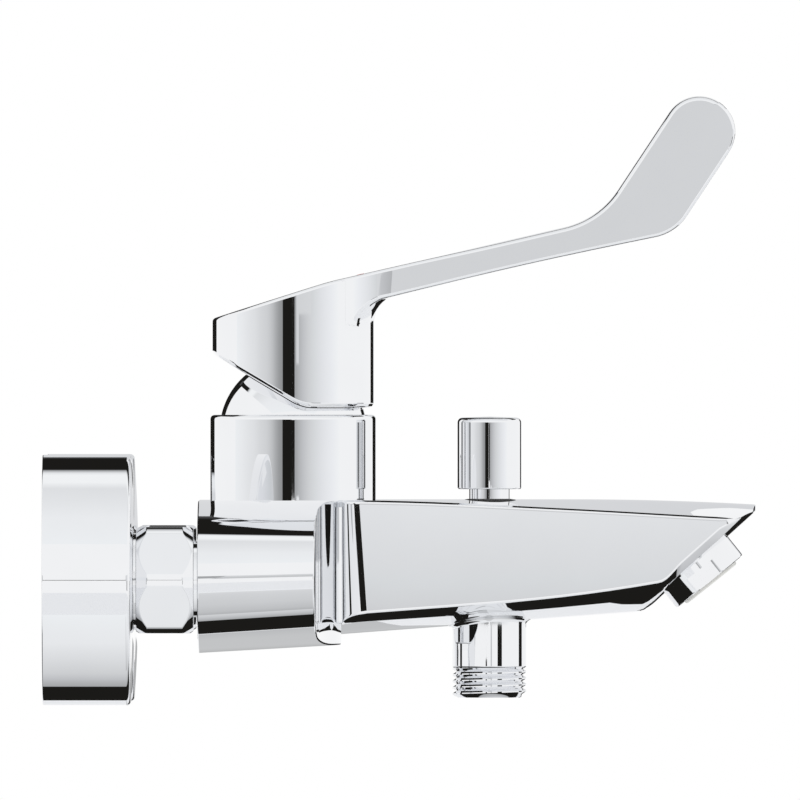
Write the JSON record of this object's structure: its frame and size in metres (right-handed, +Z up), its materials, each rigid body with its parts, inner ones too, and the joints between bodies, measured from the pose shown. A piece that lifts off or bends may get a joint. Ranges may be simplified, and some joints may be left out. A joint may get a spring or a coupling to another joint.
{
  "type": "shower mixer",
  "caption": "Wall-mounted bath and shower mixer with round roses, long elbow lever, inclined spout nozzle, pull-up diverter knob and threaded hose outlet.",
  "frame": {"origin": "on the wall plane, midway between the supply inlets, at the inlets' height", "axes": "+X leaves the wall towards the spout's tip, +Y runs from the hot to the cold inlet, +Z is up"},
  "size_m": [0.2018, 0.2206, 0.1724],
  "materials": {
    "chrome_plate": "polished chrome plate on cast or turned brass",
    "brass": "turned, unplated",
    "stainless_steel": "drawn wire and turned pins",
    "rubber_seal": "moulded EPDM",
    "alumina": "lapped alumina",
    "acetal": "moulded acetal",
    "hot_red": "moulded inlay",
    "cold_blue": "moulded inlay"
  },
  "bodies": {
    "mixer": {"body_casting": "chrome_plate", "escutcheon_hot": "chrome_plate", "escutcheon_cold": "chrome_plate", "union_nut_hot": "chrome_plate", "union_nut_cold": "chrome_plate", "dome_cover": "chrome_plate", "diverter_guide": "chrome_plate", "shower_nipple": "chrome_plate", "aerator_housing": "chrome_plate", "s_union_hot": "brass", "s_union_cold": "brass", "inlet_nipple_hot": "brass", "inlet_nipple_cold": "brass", "cartridge_clamp_nut": "brass", "diverter_spring": "stainless_steel", "check_valve_spring": "stainless_steel", "union_gasket_hot": "rubber_seal", "union_gasket_cold": "rubber_seal", "cartridge_seals": "rubber_seal", "diverter_oring": "rubber_seal", "aerator_seal": "rubber_seal", "ceramic_disc_fixed": "alumina", "cartridge_base": "acetal", "cartridge_housing": "acetal", "check_valve_cage": "acetal", "aerator_insert": "acetal"},
    "swivel": {"cartridge_swivel": "acetal", "spindle_pin": "stainless_steel", "temperature_stop": "acetal"},
    "handle": {"lever": "chrome_plate", "spindle": "brass", "lever_grub_screw": "stainless_steel", "indicator_hot": "hot_red", "indicator_cold": "cold_blue"},
    "shutter": {"ceramic_disc_moving": "alumina", "disc_carrier": "acetal"},
    "diverter": {"diverter_knob": "chrome_plate", "diverter_rod": "brass", "diverter_collar": "brass", "diverter_disc": "rubber_seal"},
    "poppet": {"check_valve_poppet": "acetal"}
  },
  "joints": [
    {"name": "lever_turn", "type": "hinge", "parent": "mixer", "child": "swivel", "pos_m": [0.07045, 0, 0.042], "axis": [0, 0, 1], "range_deg": [-50, 50]},
    {"name": "lever_tilt", "type": "hinge", "parent": "swivel", "child": "handle", "pos_m": [0.07045, 0, 0.042], "axis": [0, -1, 0], "range_deg": [0, 25]},
    {"name": "disc_slide", "type": "slide", "parent": "swivel", "child": "shutter", "axis": [1, 0, 0], "range_m": [0, 0.0052]},
    {"name": "diverter_lift", "type": "slide", "parent": "mixer", "child": "diverter", "axis": [0, 0, 1], "range_m": [0, 0.008], "stiffness_N_per_m": 60, "springref_m": -0.01, "deforming": ["diverter_spring"]},
    {"name": "check_valve_open", "type": "slide", "parent": "mixer", "child": "poppet", "axis": [0, 0, -1], "range_m": [0, 0.003], "stiffness_N_per_m": 60, "springref_m": -0.004, "deforming": ["check_valve_spring"]}
  ],
  "couplings": [
    {"joint": "disc_slide", "follows": "lever_tilt", "m_per_rad": 0.011905}
  ]
}
